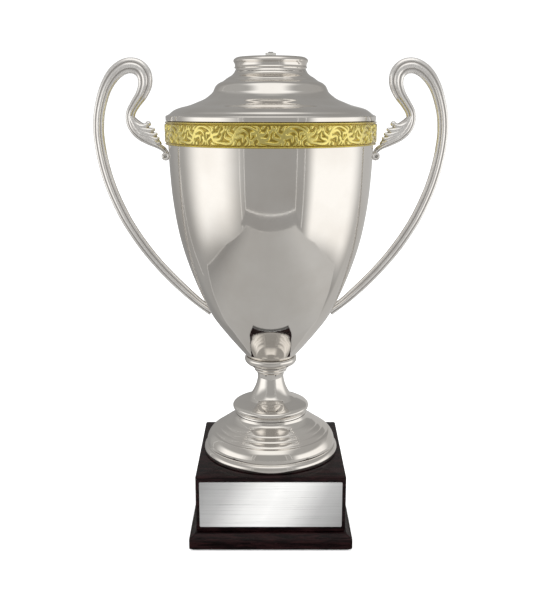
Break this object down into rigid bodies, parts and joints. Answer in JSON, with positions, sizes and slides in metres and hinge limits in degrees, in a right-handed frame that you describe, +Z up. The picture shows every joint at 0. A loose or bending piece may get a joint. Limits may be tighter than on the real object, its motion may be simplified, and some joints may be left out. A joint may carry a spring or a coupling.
{
  "type": "cup trophy",
  "caption": "Lidded presentation cup: tall polished bowl with reeded scroll handles, gilt embossed rim band and turned stem, on a square lacquered base with a blank name plate.",
  "frame": {"origin": "centre of the base's underside, on the surface that it stands on", "axes": "+Z up along the cup's axis, handles along +X and -X, the name plate faces -Y"},
  "size_m": [0.2396, 0.1424, 0.3328],
  "materials": {
    "silver": "polished nickel-silver plate, mirror-like and slightly warm",
    "gold": "gilt, embossed, darker in the hollows",
    "lacquer": "dark rosewood under thick high-gloss lacquer",
    "plate": "brushed along its length, satin",
    "felt": "short dense felt",
    "steel": "zinc plated, lightly brushed"
  },
  "bodies": {
    "cup": {"base_felt_pad": "felt", "base_plinth": "lacquer", "base_block": "lacquer", "name_plate": "plate", "foot": "silver", "stem_column": "silver", "stem_collar": "silver", "bowl": "silver", "rim_band": "gold", "handle_left": "silver", "handle_right": "silver", "tie_rod": "steel", "tie_rod_nut_bottom": "steel", "tie_rod_washer_bottom": "steel", "tie_rod_nut_top": "steel", "tie_rod_washer_top": "steel", "handle_screw_left_lower": "steel", "handle_washer_left_lower": "steel", "handle_screw_left_upper": "steel", "handle_washer_left_upper": "steel", "handle_screw_right_lower": "steel", "handle_washer_right_lower": "steel", "handle_screw_right_upper": "steel", "handle_washer_right_upper": "steel"},
    "lid": {"lid_dome": "silver", "lid_locating_ring": "silver", "lid_top_collar": "silver", "lid_stud": "steel", "lid_nut_top": "steel", "lid_nut_bottom": "steel", "lid_washer_bottom": "steel"}
  },
  "joints": [
    {"name": "lid_lift", "type": "slide", "parent": "cup", "child": "lid", "axis": [0, 0, 1], "range_m": [0, 0.1]}
  ]
}
